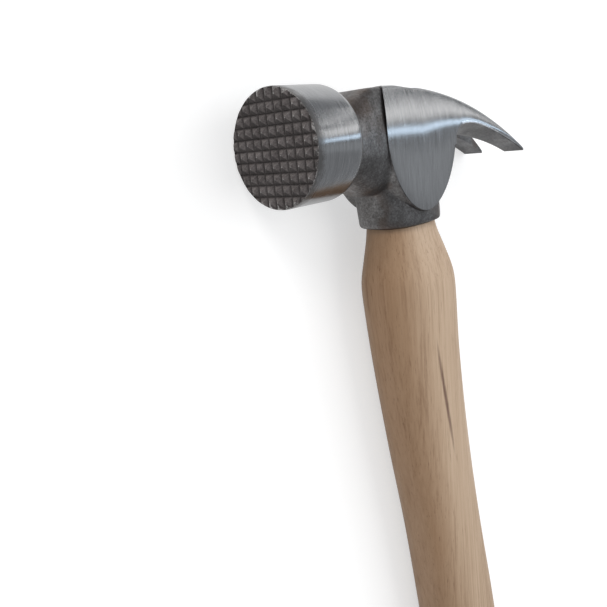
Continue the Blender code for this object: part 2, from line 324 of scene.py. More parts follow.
@dataclass(frozen=True)
class GroundSteel:
    """Bright steel with fine lines left by the grinding belt, dulled by use behind the face's rim."""

    zone: Zone = Zone.GROUND
    dull: Colour = (0.225, 0.226, 0.230)
    bright: Colour = (0.365, 0.369, 0.377)
    speck: Colour = (0.20, 0.19, 0.18)
    lines: Noise = Noise((120.0, 2600.0, 120.0), detail=4.0, rough=0.7)
    marks: Noise = Noise((420.0, 900.0, 420.0), (6.0, 2.0, 4.0), rough=0.6)
    broad: Noise = Noise((40.0, 260.0, 40.0), (3.0, 1.0, 7.0), detail=2.0)
    fleck: Noise = Noise(even(1500.0), detail=2.0)
    ragged: Noise = Noise(even(420.0), rough=0.6)
    roughness: Pair = (0.17, 0.28)
    stretch: float = 0.9
    line_depth: float = 0.05 * MM
    pose: Matrix | None = None
    haze: Colour = (0.150, 0.143, 0.138)
    haze_end: Pair = (4.6 * MM, 7.0 * MM)
    haze_fray: float = 5.0 * MM

    def make(self) -> Material:
        """Build the material.

        Returns:
            The material.
        """
        board = Board(self.zone.value)
        lines = board.noise(self.lines)
        both = board.weighed((lines, 0.8), (board.noise(self.broad), 0.2))
        colour = board.ramp(both, ((0.32, self.dull), (0.66, self.bright)))
        specks = board.span(board.noise(self.fleck), over=(0.68, 0.74), to=(0.0, 0.35))
        colour = board.mix(specks, colour, self.speck)
        rough = board.span(both, over=(0.3, 0.7), to=self.roughness)
        if self.pose is not None:
            behind = board.reading(self.pose, Way.BACK)
            behind = board.weighed((behind, 1.0), (board.noise(self.ragged), self.haze_fray))
            dulled = board.span(behind, over=self.haze_end, to=(0.75, 0.0))
            colour = board.mix(dulled, colour, self.haze)
            rough = board.weighed((rough, 1.0), (dulled, 0.2))
        board.brush(self.stretch)
        board.bump(board.weighed((board.noise(self.marks), 1.0), (lines, 0.2)), 0.35, self.line_depth)
        return board.wear(colour, rough, metallic=1.0)


@dataclass(frozen=True)
class ForgedSteel:
    """Dark scaled steel as it left the hammer and the shot blast."""

    zone: Zone = Zone.FORGED
    dark: Colour = (0.095, 0.089, 0.086)
    middle: Colour = (0.165, 0.160, 0.158)
    pale: Colour = (0.28, 0.275, 0.275)
    rust: Colour = (0.15, 0.105, 0.082)
    grit: Noise = Noise(even(1300.0), detail=4.0, rough=0.7)
    cloud: Noise = Noise(even(110.0), (1.0, 5.0, 2.0))
    bloom: Noise = Noise(even(75.0), (8.0, 2.0, 3.0), detail=2.0)
    roughness: Pair = (0.62, 0.42)
    grit_depth: float = 0.12 * MM

    def make(self) -> Material:
        """Build the material.

        Returns:
            The material.
        """
        board = Board(self.zone.value)
        grit = board.noise(self.grit)
        both = board.weighed((grit, 0.55), (board.noise(self.cloud), 0.45))
        colour = board.ramp(both, ((0.36, self.dark), (0.52, self.middle), (0.66, self.pale)))
        rusted = board.span(board.noise(self.bloom), over=(0.52, 0.68), to=(0.0, 0.45))
        colour = board.mix(rusted, colour, self.rust)
        rough = board.span(both, over=(0.35, 0.65), to=self.roughness)
        board.bump(grit, 0.45, self.grit_depth)
        return board.wear(colour, rough, metallic=1.0)


@dataclass(frozen=True)
class ToothSteel:
    """Milled teeth, brown-grey in the grooves and paler on worn tops; given the head's pose, painted shade
    also darkens the groove bottoms and a painted shadow each tooth's lower facet.
    """

    zone: Zone
    deep: Colour
    worn: Colour
    smoothest: float
    worn_over: Pair = (0.34, 0.68)
    rough_range: float = 0.18
    metallic: float = 0.45
    grit: Noise = Noise(even(1700.0), (4.0, 2.0, 9.0), rough=0.65)
    cloud: Noise = Noise(even(150.0), detail=2.0)
    grit_depth: float = 0.08 * MM
    pose: Matrix | None = None
    # Colour of the painted shade in the grooves and of the painted shadow on the lower facets, and the depth
    # where the shade starts
    painted_shade: Colour = (0.022, 0.018, 0.017)
    shade_start: float = 0.85 * MM

    def make(self) -> Material:
        """Build the material.

        Returns:
            The material.
        """
        board = Board(self.zone.value)
        grit = board.noise(self.grit)
        both = board.weighed((grit, 0.6), (board.noise(self.cloud), 0.4))
        colour = board.ramp(both, tuple(zip(self.worn_over, (self.deep, self.worn))))
        # Painted shade in the groove bottoms and painted shadow on the lower facet of each tooth
        if self.pose is not None:
            colour = self.paint_shade(board, colour)
        rough = board.span(both, over=(0.35, 0.65), to=(self.smoothest + self.rough_range, self.smoothest))
        board.bump(grit, 0.35, self.grit_depth)
        return board.wear(colour, rough, self.metallic)

    def paint_shade(self, board: Board, colour: Socket) -> Socket:
        """Darken the bottoms of the grooves with painted shade and the lower facet of each tooth with a
        painted shadow.

        Args:
            board: The material's board.
            colour: Colour of the clean teeth.

        Returns:
            The soiled colour.
        """
        # Painted shade, growing towards the groove bottoms
        behind = board.reading(self.pose, Way.BACK)
        grooves = board.span(behind, over=(self.shade_start, TOOTH_DEPTH), to=(0.0, 0.8))
        # Painted shadow on the lower facet of each tooth, from the place within the tooth grid
        across, up = (
            board.math("DIVIDE", board.reading(self.pose, way), TOOTH_PITCH) for way in (Way.ACROSS, Way.UP)
        )
        across = board.math("FRACT", board.math("ADD", across, 0.5))
        up = board.math("FRACT", up)
        aside = board.math("ABSOLUTE", board.math("SUBTRACT", across, 0.5))
        down = board.math("MULTIPLY", board.math("SUBTRACT", up, 0.5), -1.0)
        facets = board.span(board.math("SUBTRACT", down, aside), over=(-0.02, 0.06), to=(0.0, 0.62))
        return board.mix(board.math("MAXIMUM", grooves, facets), colour, self.painted_shade)


@dataclass(frozen=True)
class Hickory:
    """Pale brown hickory with long grain and pores, and on the handle painted shade on its front side, a
    darker band just under the collar and a dark streak.
    """

    zone: Zone = Zone.WOOD
    pale: Colour = (0.590, 0.438, 0.308)
    mid: Colour = (0.515, 0.368, 0.248)
    dark: Colour = (0.315, 0.198, 0.118)
    rings: Noise = Noise((6.0, 330.0, 264.0), rough=0.5, warp=0.6)
    sway: Noise = Noise((9.0, 60.0, 60.0), (4.0, 1.0, 2.0), detail=2.0, rough=0.5, warp=0.4)
    fibres: Noise = Noise((16.0, 1100.0, 1100.0), (2.0, 0.0, 5.0), detail=4.0, rough=0.7)
    pores: Noise = Noise((90.0, 2600.0, 2600.0), (7.0, 3.0, 1.0), detail=2.0, rough=0.6)
    ragged: Noise = Noise((120.0, 1800.0, 1800.0), rough=0.6)
    roughness: Pair = (0.62, 0.46)
    fibre_depth: float = 0.1 * MM
    is_handle: bool = False
    # Tint multiplied over the handle's front side as painted shade
    front_shade: Colour = (0.62, 0.50, 0.39)
    collar_x: float = -148.6 * MM
    collar_shade: float = 3.0 * MM
    collar_fray: float = 4.0 * MM
    streak: Pair | None = None
    streak_colour: Colour = (0.125, 0.056, 0.034)
    streak_length: float = 28.0 * MM
    streak_width: float = 1.25 * MM
    streak_slope: float = 0.172

    def make(self) -> Material:
        """Build the material.

        Returns:
            The material.
        """
        board = Board(self.zone.value)
        axes = board.add("ShaderNodeSeparateXYZ")
        board.link(board.place, axes.inputs["Vector"])
        specs = (self.sway, self.rings, self.fibres, self.pores)
        sway, rings, fibres, pores = [board.noise(spec) for spec in specs]
        grain = board.weighed((rings, 0.27), (fibres, 0.48), (sway, 0.30))
        colour = board.ramp(grain, ((0.36, self.dark), (0.52, self.mid), (0.68, self.pale)))
        lines = board.span(pores, over=(0.62, 0.74), to=(0.0, 0.55))
        colour = board.mix(lines, colour, self.dark, "MULTIPLY")
        if self.is_handle:
            # Painted shade over the front side of the handle, uneven with the grain's sway
            front = board.add("ShaderNodeAttribute")
            front.attribute_name = FRONT
            uneven = board.math("SUBTRACT", sway, 0.5)
            share = board.weighed((front.outputs["Fac"], 1.0), (uneven, 0.5))
            front_shaded = board.span(share, over=(0.28, 1.0), to=(0.0, 0.9))
            colour = board.mix(front_shaded, colour, self.front_shade, "MULTIPLY")
            under = board.weighed((axes.outputs["X"], 1.0), (fibres, self.collar_fray))
            ends = (self.collar_x, self.collar_x + self.collar_shade)
            colour = board.mix(board.span(under, over=ends, to=(0.7, 0.0)), colour, self.dark)
        if self.streak is not None:
            colour = self.lens(board, axes, colour)
        rough = board.span(grain, over=(0.35, 0.65), to=self.roughness)
        board.bump(board.weighed((fibres, 0.7), (pores, 0.3)), 0.18, self.fibre_depth)
        return board.wear(colour, rough, metallic=0.0)

    def lens(self, board: Board, axes: bpy.types.Node, colour: Socket) -> Socket:
        """Lay the dark lens of grain over the colour.

        Args:
            board: The material's board.
            axes: Node that gives the object coordinates.
            colour: Colour under the lens.

        Returns:
            The colour with the lens.
        """
        run = board.math("SUBTRACT", axes.outputs["X"], self.streak[0])
        off = board.math("SUBTRACT", axes.outputs["Y"], self.streak[1])
        off = board.math("SUBTRACT", off, board.math("MULTIPLY", run, self.streak_slope))
        shares = []
        for reach, size in ((run, self.streak_length), (off, self.streak_width)):
            share = board.math("ABSOLUTE", board.math("DIVIDE", reach, size))
            shares.append((board.math("POWER", share, 2.0), 1.0))
        edge = board.weighed(*shares, (board.noise(self.ragged), 0.9))
        return board.mix(board.span(edge, over=(0.4, 1.45), to=(0.95, 0.0)), colour, self.streak_colour)


@dataclass(frozen=True)
class EndGrain:
    """Sawn end of the wood: close rings and open pores."""

    zone: Zone = Zone.END_GRAIN
    pale: Colour = (0.40, 0.27, 0.17)
    dark: Colour = (0.19, 0.115, 0.066)
    rings: Noise = Noise((60.0, 120.0, 900.0), rough=0.6, warp=0.4)
    pores: Noise = Noise(even(2200.0), detail=2.0, rough=0.6)
    roughness: Pair = (0.8, 0.6)
    pore_depth: float = 0.15 * MM

    def make(self) -> Material:
        """Build the material.

        Returns:
            The material.
        """
        board = Board(self.zone.value)
        pores = board.noise(self.pores)
        both = board.weighed((board.noise(self.rings), 0.6), (pores, 0.4))
        colour = board.ramp(both, ((0.36, self.dark), (0.64, self.pale)))
        board.bump(pores, 0.4, self.pore_depth)
        return board.wear(colour, board.span(both, over=(0.3, 0.7), to=self.roughness), metallic=0.0)


# Shared modelling


class Bench:
    """Modelling steps shared by the pieces."""

    @staticmethod
    def clear() -> None:
        """Deselect everything, in object mode."""
        if bpy.context.object is not None and bpy.context.object.mode != "OBJECT":
            bpy.ops.object.mode_set(mode="OBJECT")
        bpy.ops.object.select_all(action="DESELECT")

    @staticmethod
    def pick(piece: Piece) -> None:
        """Make a piece the only selected one.

        Args:
            piece: The piece.
        """
        Bench.clear()
        piece.select_set(True)
        bpy.context.view_layer.objects.active = piece

    @staticmethod
    def close() -> None:
        """Merge the active piece's seams, fill its ends and turn its faces outwards."""
        bpy.ops.object.mode_set(mode="EDIT")
        bpy.ops.mesh.select_all(action="SELECT")
        bpy.ops.mesh.remove_doubles(threshold=MERGE)
        bpy.ops.mesh.fill_holes(sides=0)
        bpy.ops.mesh.select_all(action="SELECT")
        bpy.ops.mesh.normals_make_consistent(inside=False)
        bpy.ops.object.mode_set(mode="OBJECT")

    @staticmethod
    def wrap(name: str, rings: Sequence[Ring]) -> Piece:
        """Closed body made by wrapping a grid round a run of sections.

        Args:
            name: Name of the piece.
            rings: Sections with the same number of points, in order.

        Returns:
            The piece, closed at both ends.
        """
        Bench.clear()
        bpy.ops.mesh.primitive_grid_add(x_subdivisions=len(rings[0]), y_subdivisions=len(rings) - 1, size=1.0)
        piece = bpy.context.object
        piece.name = name
        piece.data.name = name
        flat: list[float] = []
        for ring in rings:
            for point in (*ring, ring[0]):
                flat.extend(point)
        piece.data.vertices.foreach_set("co", flat)
        Bench.close()
        return piece

    @staticmethod
    def rod(name: str, radius: float, start: float, end: float) -> Piece:
        """Round bar along the axis of the barrel.

        Args:
            name: Name of the piece.
            radius: Its radius.
            start: Place of its front end.
            end: Place of its rear end.

        Returns:
            The bar.
        """
        Bench.clear()
        bpy.ops.mesh.primitive_cylinder_add(
            vertices=ROD_SIDES,
            radius=radius,
            depth=end - start,
            location=((start + end) / 2, 0, 0),
            rotation=(0, math.pi / 2, 0),
        )
        bpy.ops.object.transform_apply(location=True, rotation=True, scale=True)
        bpy.context.object.name = name
        return bpy.context.object

    @staticmethod
    def combine(piece: Piece, tool: Piece, way: Merge) -> None:
        """Join or cut a piece with a tool, keeping the tool's finish on the new faces.

        Args:
            piece: Piece that is changed.
            tool: Piece that is used up.
            way: How they are combined.
        """
        Bench.pick(piece)
        step = piece.modifiers.new(tool.name, "BOOLEAN")
        step.operation = way.value
        step.solver = "EXACT"
        step.material_mode = "TRANSFER"
        step.object = tool
        bpy.ops.object.modifier_apply(modifier=step.name)
        bpy.data.objects.remove(tool, do_unlink=True)

    @staticmethod
    def paint(
        piece: Piece,
        finishes: Finishes,
        zones: Sequence[Zone],
        choose: Callable[[Face], Zone] | None = None,
    ) -> Piece:
        """Give a piece its finishes.

        Args:
            piece: The piece.
            finishes: Material by zone.
            zones: Zones that it has, of which the first covers it at the start.
            choose: Gives the zone of a face, where there is more than one.

        Returns:
            The same piece.
        """
        piece.data.materials.clear()
        for zone in zones:
            piece.data.materials.append(finishes[zone])
        if choose is not None:
            for face in piece.data.polygons:
                face.material_index = zones.index(choose(face))
        return piece

    @staticmethod
    def settle(piece: Piece, place: Matrix, angle: float) -> None:
        """Move a piece's mesh to its place and shade it.

        Args:
            piece: The piece, still in the head's own frame.
            place: Head frame to floor frame.
            angle: Edges sharper than this many degrees stay crisp.
        """
        piece.data.transform(place)
        Bench.pick(piece)
        bpy.ops.object.shade_smooth_by_angle(angle=math.radians(angle))


def blend(a: float, b: float, t: float) -> float:
    """Straight mix of two values."""
    return a + (b - a) * t


def quarter(steps: int) -> list[float]:
    """Angles of a quarter turn, from 0 to a right angle."""
    return [math.pi / 2 * i / steps for i in range(steps + 1)]


def mirrored(edge: Sequence[Pair]) -> list[Pair]:
    """The same run of points on the far side, in reverse."""
    return [(-y, z) for y, z in reversed(edge)]


def oval(half_a: float, half_b: float, roundness: float, sides: int) -> list[Pair]:
    """Points of a superellipse.

    Args:
        half_a: Half size along the first axis.
        half_b: Half size along the second axis.
        roundness: 2 is an ellipse, more is squarer.
        sides: Number of points.

    Returns:
        Pairs of coordinates.
    """
    points = []
    for i in range(sides):
        turn = 2 * math.pi * i / sides
        c = math.cos(turn)
        s = math.sin(turn)
        a = math.copysign(abs(c) ** (2 / roundness), c)
        b = math.copysign(abs(s) ** (2 / roundness), s)
        points.append((half_a * a, half_b * b))
    return points


def roll(half: float, flat: float, side: float, level: float) -> list[Pair]:
    """Rounded corner of a section.

    Args:
        half: Half width at the side.
        flat: Half width of the flat it runs into.
        side: Height where the side ends.
        level: Height of the flat.

    Returns:
        Points from the side to the flat.
    """
    turns = quarter(ROLL_STEPS)
    return [(blend(flat, half, math.cos(t)), blend(side, level, math.sin(t))) for t in turns]


def brow(half: float, flat: float, side: float, level: float, nose: float) -> list[Pair]:
    """Side that leans in steadily and turns over a small nose onto the flat, with as many points as a roll.

    Args:
        half: Half width at the side.
        flat: Half width of the flat it runs into.
        side: Height where the side starts to lean.
        level: Height of the flat.
        nose: Size of the nose.

    Returns:
        Points from the side to the flat.
    """
    last = 1 - nose / (level - side)
    leaning = [last * i / LEAN_STEPS for i in range(LEAN_STEPS + 1)]
    points = [(blend(half, flat, u * u), blend(side, level, u)) for u in leaning]
    start_y, start_z = points[-1]
    for i in range(1, NOSE_STEPS + 1):
        t = i / NOSE_STEPS
        y = (1 - t) ** 2 * start_y + 2 * t * (1 - t) * flat + t * t * (flat - nose)
        points.append((y, blend(start_z, level, 1 - (1 - t) ** 2)))
    return points


def between(first: Sequence[Pair], second: Sequence[Pair], t: float) -> list[Pair]:
    """Straight mix of two runs of points."""
    return [(blend(a, c, t), blend(b, d, t)) for (a, b), (c, d) in zip(first, second)]


# The hammer


@dataclass
class RestPose:
    """How the hammer lies: barrel edge, claw corner and knob on the floor."""

    barrel_edge: Point = (19.7 * MM, 19.0 * MM, 0.0)
    claw_corner: Point = (136.0 * MM, 14.6 * MM, -13.236 * MM)
    knob_side: Point = (92.6 * MM, 15.3 * MM, -368.5 * MM)
    origin: Point = (-183.263 * MM, -67.947 * MM, 19.812 * MM)

    def matrix(self) -> Matrix:
        """Work out how the head's own frame lies on the floor.

        Returns:
            Head frame to floor frame.
        """
        lying = Matrix(((0, 0, -1), (1, 0, 0), (0, -1, 0)))
        touching = (self.barrel_edge, self.claw_corner, self.knob_side)
        first, second, third = (lying @ Vector(point) for point in touching)
        normal = (second - first).cross(third - first)
        if normal.z < 0:
            normal.negate()
        level = normal.rotation_difference(Vector((0, 0, 1))).to_matrix()
        return Matrix.Translation(self.origin) @ (level @ lying).to_4x4()


@dataclass
class Eye:
    """Eye of the head and the tenon that fills it."""

    x: float = 60.8 * MM
    lean: float = 0.078
    depth: float = 27.6 * MM
    width: float = 18.3 * MM
    flare: float = 1.0 * MM
    top: float = 14.287 * MM
    gap: float = 0.3 * MM
    roundness: float = 2.6
    collar_drop: float = 33.2 * MM

    def centre(self, z: float) -> float:
        """Fore-and-aft place of the eye axis at a height."""
        return self.x - self.lean * z

    def ring(self, z: float, grow: float) -> Ring:
        """Oval round the tenon at a height.

        Args:
            z: Height.
            grow: Distance outside the tenon.

        Returns:
            The ring.
        """
        t = min(1.0, max(0.0, z / self.top))
        a = self.depth / 2 + self.flare * t + grow
        b = self.width / 2 + self.flare * t + grow
        return [(self.centre(z) + x, y, z) for x, y in oval(a, b, self.roundness, EYE_SIDES)]


@dataclass
class Head:
    """Forged head: milled barrel, neck, ground cheeks, split claw and eye collar."""

    eye: Eye
    finishes: Finishes
    radius: float = 19.0 * MM
    chamfer: float = 1.7 * MM
    chamfer_steps: int = 5
    worn_share: float = 0.8
    barrel: float = 19.7 * MM
    shoulder: float = 5.0 * MM
    shoulder_steps: int = 12
    shoulder_ground: float = 0.35
    tooth_flat: float = 0.4 * MM
    tooth_runout: float = 1.5 * MM
    neck_width: float = 27.2 * MM
    neck_top: float = 12.2 * MM
    neck_drop: float = 13.4 * MM
    neck_root: float = 20.0 * MM
    neck_flat: float = 4.0 * MM
    neck_step: float = 0.3 * MM
    neck_roll: float = 11.6 * MM
    neck_belly: float = 0.7 * MM
    neck_steps: int = 40
    cheek_length: float = 42.4 * MM
    cheek_width: float = 28.4 * MM
    cheek_drop: float = 28.4 * MM
    cheek_point: float = 1.85
    cheek_edge: float = 0.7 * MM
    cheek_steps: int = 60
    edge_steps: int = 4
    edge_share: float = 0.3
    faces_end: float = 0.6
    faces_down: float = 0.35
    faces_aside: float = 0.3
    crown: float = 16.8 * MM
    crown_flat: float = 15.0 * MM
    crown_roll: float = 12.8 * MM
    brow_flat: float = 20.6 * MM
    brow_reach: float = 18.6 * MM
    brow_nose: float = 1.3 * MM
    brow_fade: float = 1.2
    front_slant: float = 1.0
    collar_wall: float = 3.0 * MM
    collar_edge: float = 0.6 * MM
    collar_spread: float = 0.8 * MM
    collar_steps: int = 5
    claw_reach: float = 136.0 * MM
    claw_radius: float = 154.0 * MM
    claw_start: float = 46.0 * MM
    claw_root: float = 14.0 * MM
    claw_tip: float = 1.0 * MM
    claw_width: float = 29.2 * MM
    claw_flat: float = 28.2 * MM
    claw_bevel: float = 0.3
    bevel_onset: float = 0.6
    claw_land: float = 0.15 * MM
    claw_rib: float = 6.2 * MM
    claw_steps: int = 48
    bright_share: float = 0.08
    root_fillet: float = 5.0 * MM
    fillet_steps: int = 12
    slot_length: float = 38.0 * MM
    slot_mouth: float = 10.4 * MM
    slot_root: float = 1.3 * MM
    slot_flare: float = 0.4 * MM
    slot_steps: int = 24
    core_inset: float = 0.5 * MM
    core_short: float = 5.3 * MM
    core_grain: float = 0.7 * MM
    core_softness: int = 14
    crisp_angle: float = 38.0

    @property
    def cheek_x(self) -> float:
        """Middle of the cheeks."""
        return self.eye.centre(-self.cheek_drop / 2)

    @property
    def cheek_front(self) -> float:
        """Front end of the cheeks."""
        return self.cheek_x - self.cheek_length / 2

    @property
    def cheek_rear(self) -> float:
        """Rear end of the cheeks."""
        return self.cheek_x + self.cheek_length / 2

    def crown_z(self, x: float) -> float:
        """Height of the crown line."""
        run = max(0.0, x - self.claw_start)
        return self.crown - self.claw_radius + math.sqrt(self.claw_radius ** 2 - run ** 2)

    def claw_share(self, x: float) -> float:
        """How far along the claw a place is, from 0 at its root to 1 at its tip."""
        return min(1.0, max(0.0, (x - self.cheek_rear) / (self.claw_reach - self.cheek_rear)))

    def under_z(self, x: float) -> float:
        """Height of the underside of cheeks and claw.

        Args:
            x: Distance behind the face.

        Returns:
            The height.
        """
        claw = self.crown_z(x) - blend(self.claw_tip, self.claw_root, 1 - self.claw_share(x))
        if x >= self.cheek_x:
            run = min(1.0, max(0.0, (x - self.cheek_rear) / self.root_fillet))
            claw -= self.root_fillet * (1 - math.sqrt(1 - (1 - run) ** 2))
        off = abs(x - self.cheek_x) / (self.cheek_length / 2)
        if off >= 1:
            return claw
        return min(claw, -self.cheek_drop * (1 - off ** self.cheek_point) ** (1 / self.cheek_point))

    def ridge_rise(self, x: float) -> float:
        """Height of the claw's side ridge above its underside."""
        thick = self.crown_z(x) - self.under_z(x)
        return thick * self.claw_bevel * math.sin(math.pi * self.claw_share(x) ** self.bevel_onset)

    def barrel_zone(self, face: Face) -> Zone:
        """Finish of a face of the barrel.

        Args:
            face: The face.

        Returns:
            Its zone.
        """
        if face.center.x < self.worn_share * self.chamfer:
            return Zone.WORN
        if face.center.x > self.barrel + self.shoulder_ground * self.shoulder:
            return Zone.FORGED
        return Zone.GROUND

    def cheek_zone(self, face: Face) -> Zone:
        """Finish of a face of the cheeks or the claw.

        Args:
            face: The face.

        Returns:
            Its zone.
        """
        x, _, z = face.center
        back, aside, up = face.normal
        if back < -self.faces_end and x < self.cheek_x:
            return Zone.FORGED
        if up < -self.faces_down or (back > self.faces_end and abs(aside) < self.faces_aside):
            return Zone.UNDER
        # A band along the claw's side ridge gets the brighter steel, partly worn bright and partly a painted
        # highlight
        ridge = self.under_z(x) + self.ridge_rise(x)
        reach = self.claw_land + self.bright_share * (self.crown_z(x) - ridge)
        if x > self.cheek_rear + self.root_fillet and -self.claw_land < z - ridge < reach:
            return Zone.EDGE
        return Zone.GROUND

    def make_barrel(self) -> Piece:
        """Round bar with a chamfered face and a rounded rear shoulder.

        Returns:
            The barrel, which the rest of the head is joined to.
        """
        length = self.barrel + self.shoulder
        piece = Bench.rod("hammer_head_dressed", self.radius, 0.0, length)
        rim = (0.0, self.chamfer, self.chamfer_steps)
        rear = (length, self.shoulder, self.shoulder_steps)
        for at, offset, segments in (rim, rear):
            bpy.ops.object.mode_set(mode="EDIT")
            bpy.ops.mesh.select_all(action="DESELECT")
            bpy.ops.object.mode_set(mode="OBJECT")
            for edge in piece.data.edges:
                edge.select = all(abs(piece.data.vertices[v].co.x - at) < MERGE for v in edge.vertices)
            bpy.ops.object.mode_set(mode="EDIT")
            bpy.ops.mesh.select_mode(type="EDGE")
            bpy.ops.mesh.bevel(offset=offset, segments=segments, profile=0.5, affect="EDGES")
            bpy.ops.object.mode_set(mode="OBJECT")
        return Bench.paint(piece, self.finishes, (Zone.GROUND, Zone.WORN, Zone.FORGED), self.barrel_zone)

    def make_neck(self) -> Piece:
        """Neck that flares until it meets the cheeks, with both ends buried in its neighbours.

        Returns:
            The neck.
        """
        waist = self.barrel + self.shoulder
        steps = [i / self.neck_steps for i in range(self.neck_steps + 1)]
        stations = [(self.barrel / 2, 0.0)]
        stations += [(blend(waist, self.cheek_front, t), t) for t in steps]
        stations.append((self.cheek_front + self.cheek_length / 6, 1.0))
        rings = []
        for x, t in stations:
            flare = t * t * (3 - 2 * t)
            half = blend(self.neck_width / 2, self.cheek_width / 2 - self.neck_step, flare)
            flat = blend(self.neck_flat, self.crown_flat, flare) / 2
            top = blend(self.neck_top, self.crown - self.neck_step, flare)
            low = -blend(self.neck_drop, self.neck_root, flare)
            high = roll(half, flat, top - blend(self.neck_roll, self.crown_roll, flare), top)
            lean = brow(half, self.brow_flat / 2 - self.neck_step, top - self.brow_reach, top, self.brow_nose)
            high = between(high, lean, flare)
            deep = roll(half, self.neck_flat / 2, min(-self.neck_belly, high[0][1] - self.neck_step), low)
            ring = high + mirrored(high) + [(-y, z) for y, z in deep] + list(reversed(deep))
            rings.append([(x, y, z) for y, z in ring])
        return Bench.wrap("neck", rings)

    def make_core(self) -> Piece:
        """Forged core: neck, collar and the body behind the cheeks, melted together with soft fillets.

        Returns:
            The core.
        """
        core = self.make_neck()
        Bench.combine(core, self.make_collar(), Merge.JOIN)
        Bench.combine(core, self.make_cheeks(self.core_inset), Merge.JOIN)
        Bench.pick(core)
        melt = core.modifiers.new("melt", "REMESH")
        melt.mode = "VOXEL"
        melt.voxel_size = self.core_grain
        bpy.ops.object.modifier_apply(modifier=melt.name)
        soften = core.modifiers.new("soften", "SMOOTH")
        soften.factor = 0.5
        soften.iterations = self.core_softness
        bpy.ops.object.modifier_apply(modifier=soften.name)
        return Bench.paint(core, self.finishes, (Zone.FORGED,))

    def cheek_places(self) -> list[float]:
        """Places of the sections of cheeks and claw, closer together where the outline turns.

        Returns:
            Distances behind the face.
        """
        half = self.cheek_length / 2
        turns = [math.pi * i / self.cheek_steps for i in range(self.cheek_steps + 1)]
        places = [self.cheek_x - half * math.cos(turn) for turn in turns]
        fillet = quarter(self.fillet_steps)[1:-1]
        places += [self.cheek_rear + self.root_fillet * (1 - math.cos(turn)) for turn in fillet]
        root = self.cheek_rear + self.root_fillet
        places += [blend(root, self.claw_reach, i / self.claw_steps) for i in range(self.claw_steps + 1)]
        return places

    def cheek_ring(self, x: float, inset: float, slant: float) -> Ring:
        """Section of the cheeks and crown, or of the claw.

        Args:
            x: Distance behind the face.
            inset: How far the section is drawn in.
            slant: How fast the leaning sides run back towards the middle.

        Returns:
            The ring.
        """
        t = max(0.0, (x - self.eye.x) / (self.claw_reach - self.eye.x))
        half = blend(self.cheek_width, self.claw_width, t ** 2) / 2 - inset
        flat = blend(self.brow_flat, self.claw_flat, t) / 2 - inset
        top = self.crown_z(x) - inset
        low = self.under_z(x) + inset
        ridge = low + self.ridge_rise(x)
        reach = max(self.brow_reach * (1 - t) ** self.brow_fade, self.claw_land)
        side = max(top - reach, ridge + self.claw_land)
        corner = min(self.cheek_edge, self.edge_share * (side - ridge))
        edge = [(self.claw_rib, low)]
        for turn in quarter(self.edge_steps):
            edge.append((half - corner * (1 - math.sin(turn)), ridge + corner * (1 - math.cos(turn))))
        edge += brow(half, flat, side, top, min(self.brow_nose, self.edge_share * (top - side)))
        return [(x + slant * (half - abs(y)) * (z > side), y, z) for y, z in edge + mirrored(edge)]

    def make_cheeks(self, inset: float = 0.0) -> Piece:
        """Ground cheeks, crown and claw as one run of sections.

        Args:
            inset: How far the sections are drawn in, for the core behind the cheeks.

        Returns:
            The cheeks and claw, or their core without the claw.
        """
        places = self.cheek_places()
        if inset:
            places = [x for x in places[1:] if x < self.cheek_rear - self.core_short]
        rings = []
        for x in places:
            ahead = max(0.0, 1 - (x - self.cheek_front) / (self.cheek_length / 2))
            rings.append(self.cheek_ring(x, inset, 0.0 if inset else self.front_slant * ahead))
        zones = (Zone.GROUND, Zone.FORGED, Zone.UNDER, Zone.EDGE)
        return Bench.paint(Bench.wrap("cheeks", rings), self.finishes, zones, self.cheek_zone)

    def make_collar(self) -> Piece:
        """Oval collar at the lower end of the eye.

        Returns:
            The collar.
        """
        wall = self.eye.gap + self.collar_wall
        rings = [self.eye.ring(0.0, wall + self.collar_spread)]
        for turn in quarter(self.collar_steps):
            z = -self.eye.collar_drop + self.collar_edge * (1 - math.sin(turn))
            rings.append(self.eye.ring(z, wall - self.collar_edge * (1 - math.cos(turn))))
        return Bench.wrap("collar", rings)

    def make_eye(self) -> Piece:
        """Cutter for the eye.

        Returns:
            The cutter.
        """
        past = 2 * self.crown
        heights = (-self.eye.collar_drop - past, 0.0, self.eye.top, self.eye.top + past)
        rings = [self.eye.ring(z, self.eye.gap) for z in heights]
        return Bench.paint(Bench.wrap("eye", rings), self.finishes, (Zone.FORGED,))

    def make_slot(self) -> Piece:
        """Cutter for the slot between the claws.

        Returns:
            The cutter.
        """
        root = self.claw_reach - self.slot_length + self.slot_root
        past = self.slot_mouth
        opening = (self.slot_mouth / 2 - self.slot_root) / (self.claw_reach - root)
        mouth = self.slot_mouth / 2 + opening * past
        rings = []
        for z, grow in ((-2 * self.crown, self.slot_flare), (2 * self.crown, 0.0)):
            reach = self.slot_root + grow
            ring = [(self.claw_reach + past, -mouth - grow, z)]
            for i in range(self.slot_steps + 1):
                turn = math.pi * (1.5 - i / self.slot_steps)
                ring.append((root + reach * math.cos(turn), reach * math.sin(turn), z))
            ring.append((self.claw_reach + past, mouth + grow, z))
            rings.append(ring)
        return Bench.paint(Bench.wrap("slot", rings), self.finishes, (Zone.FORGED,))

    def make_grooves(self, way: Way) -> Piece:
        """Row of V bars that cut the face into teeth.

        Args:
            way: Axis along which the bars are stacked.

        Returns:
            The bars as one cutter.
        """
        across = way is Way.ACROSS
        shift, over = (0.5, 2 * TOOTH_DEPTH) if across else (0.0, TOOTH_DEPTH)
        rows = math.ceil(self.radius / TOOTH_PITCH)
        spots = [(i + shift) * TOOTH_PITCH for i in range(-rows, rows + 1)]
        spots = [spot for spot in spots if abs(spot) <= self.radius - self.chamfer]
        half = (TOOTH_PITCH - self.tooth_flat) / 2
        outline = ((TOOTH_DEPTH, 0.0), (0.0, half), (-over, half), (-over, -half), (0.0, -half))
        corners = len(outline)
        Bench.clear()
        bpy.ops.mesh.primitive_cylinder_add(vertices=corners, radius=TOOTH_DEPTH, depth=4 * self.radius)
        bar = bpy.context.object
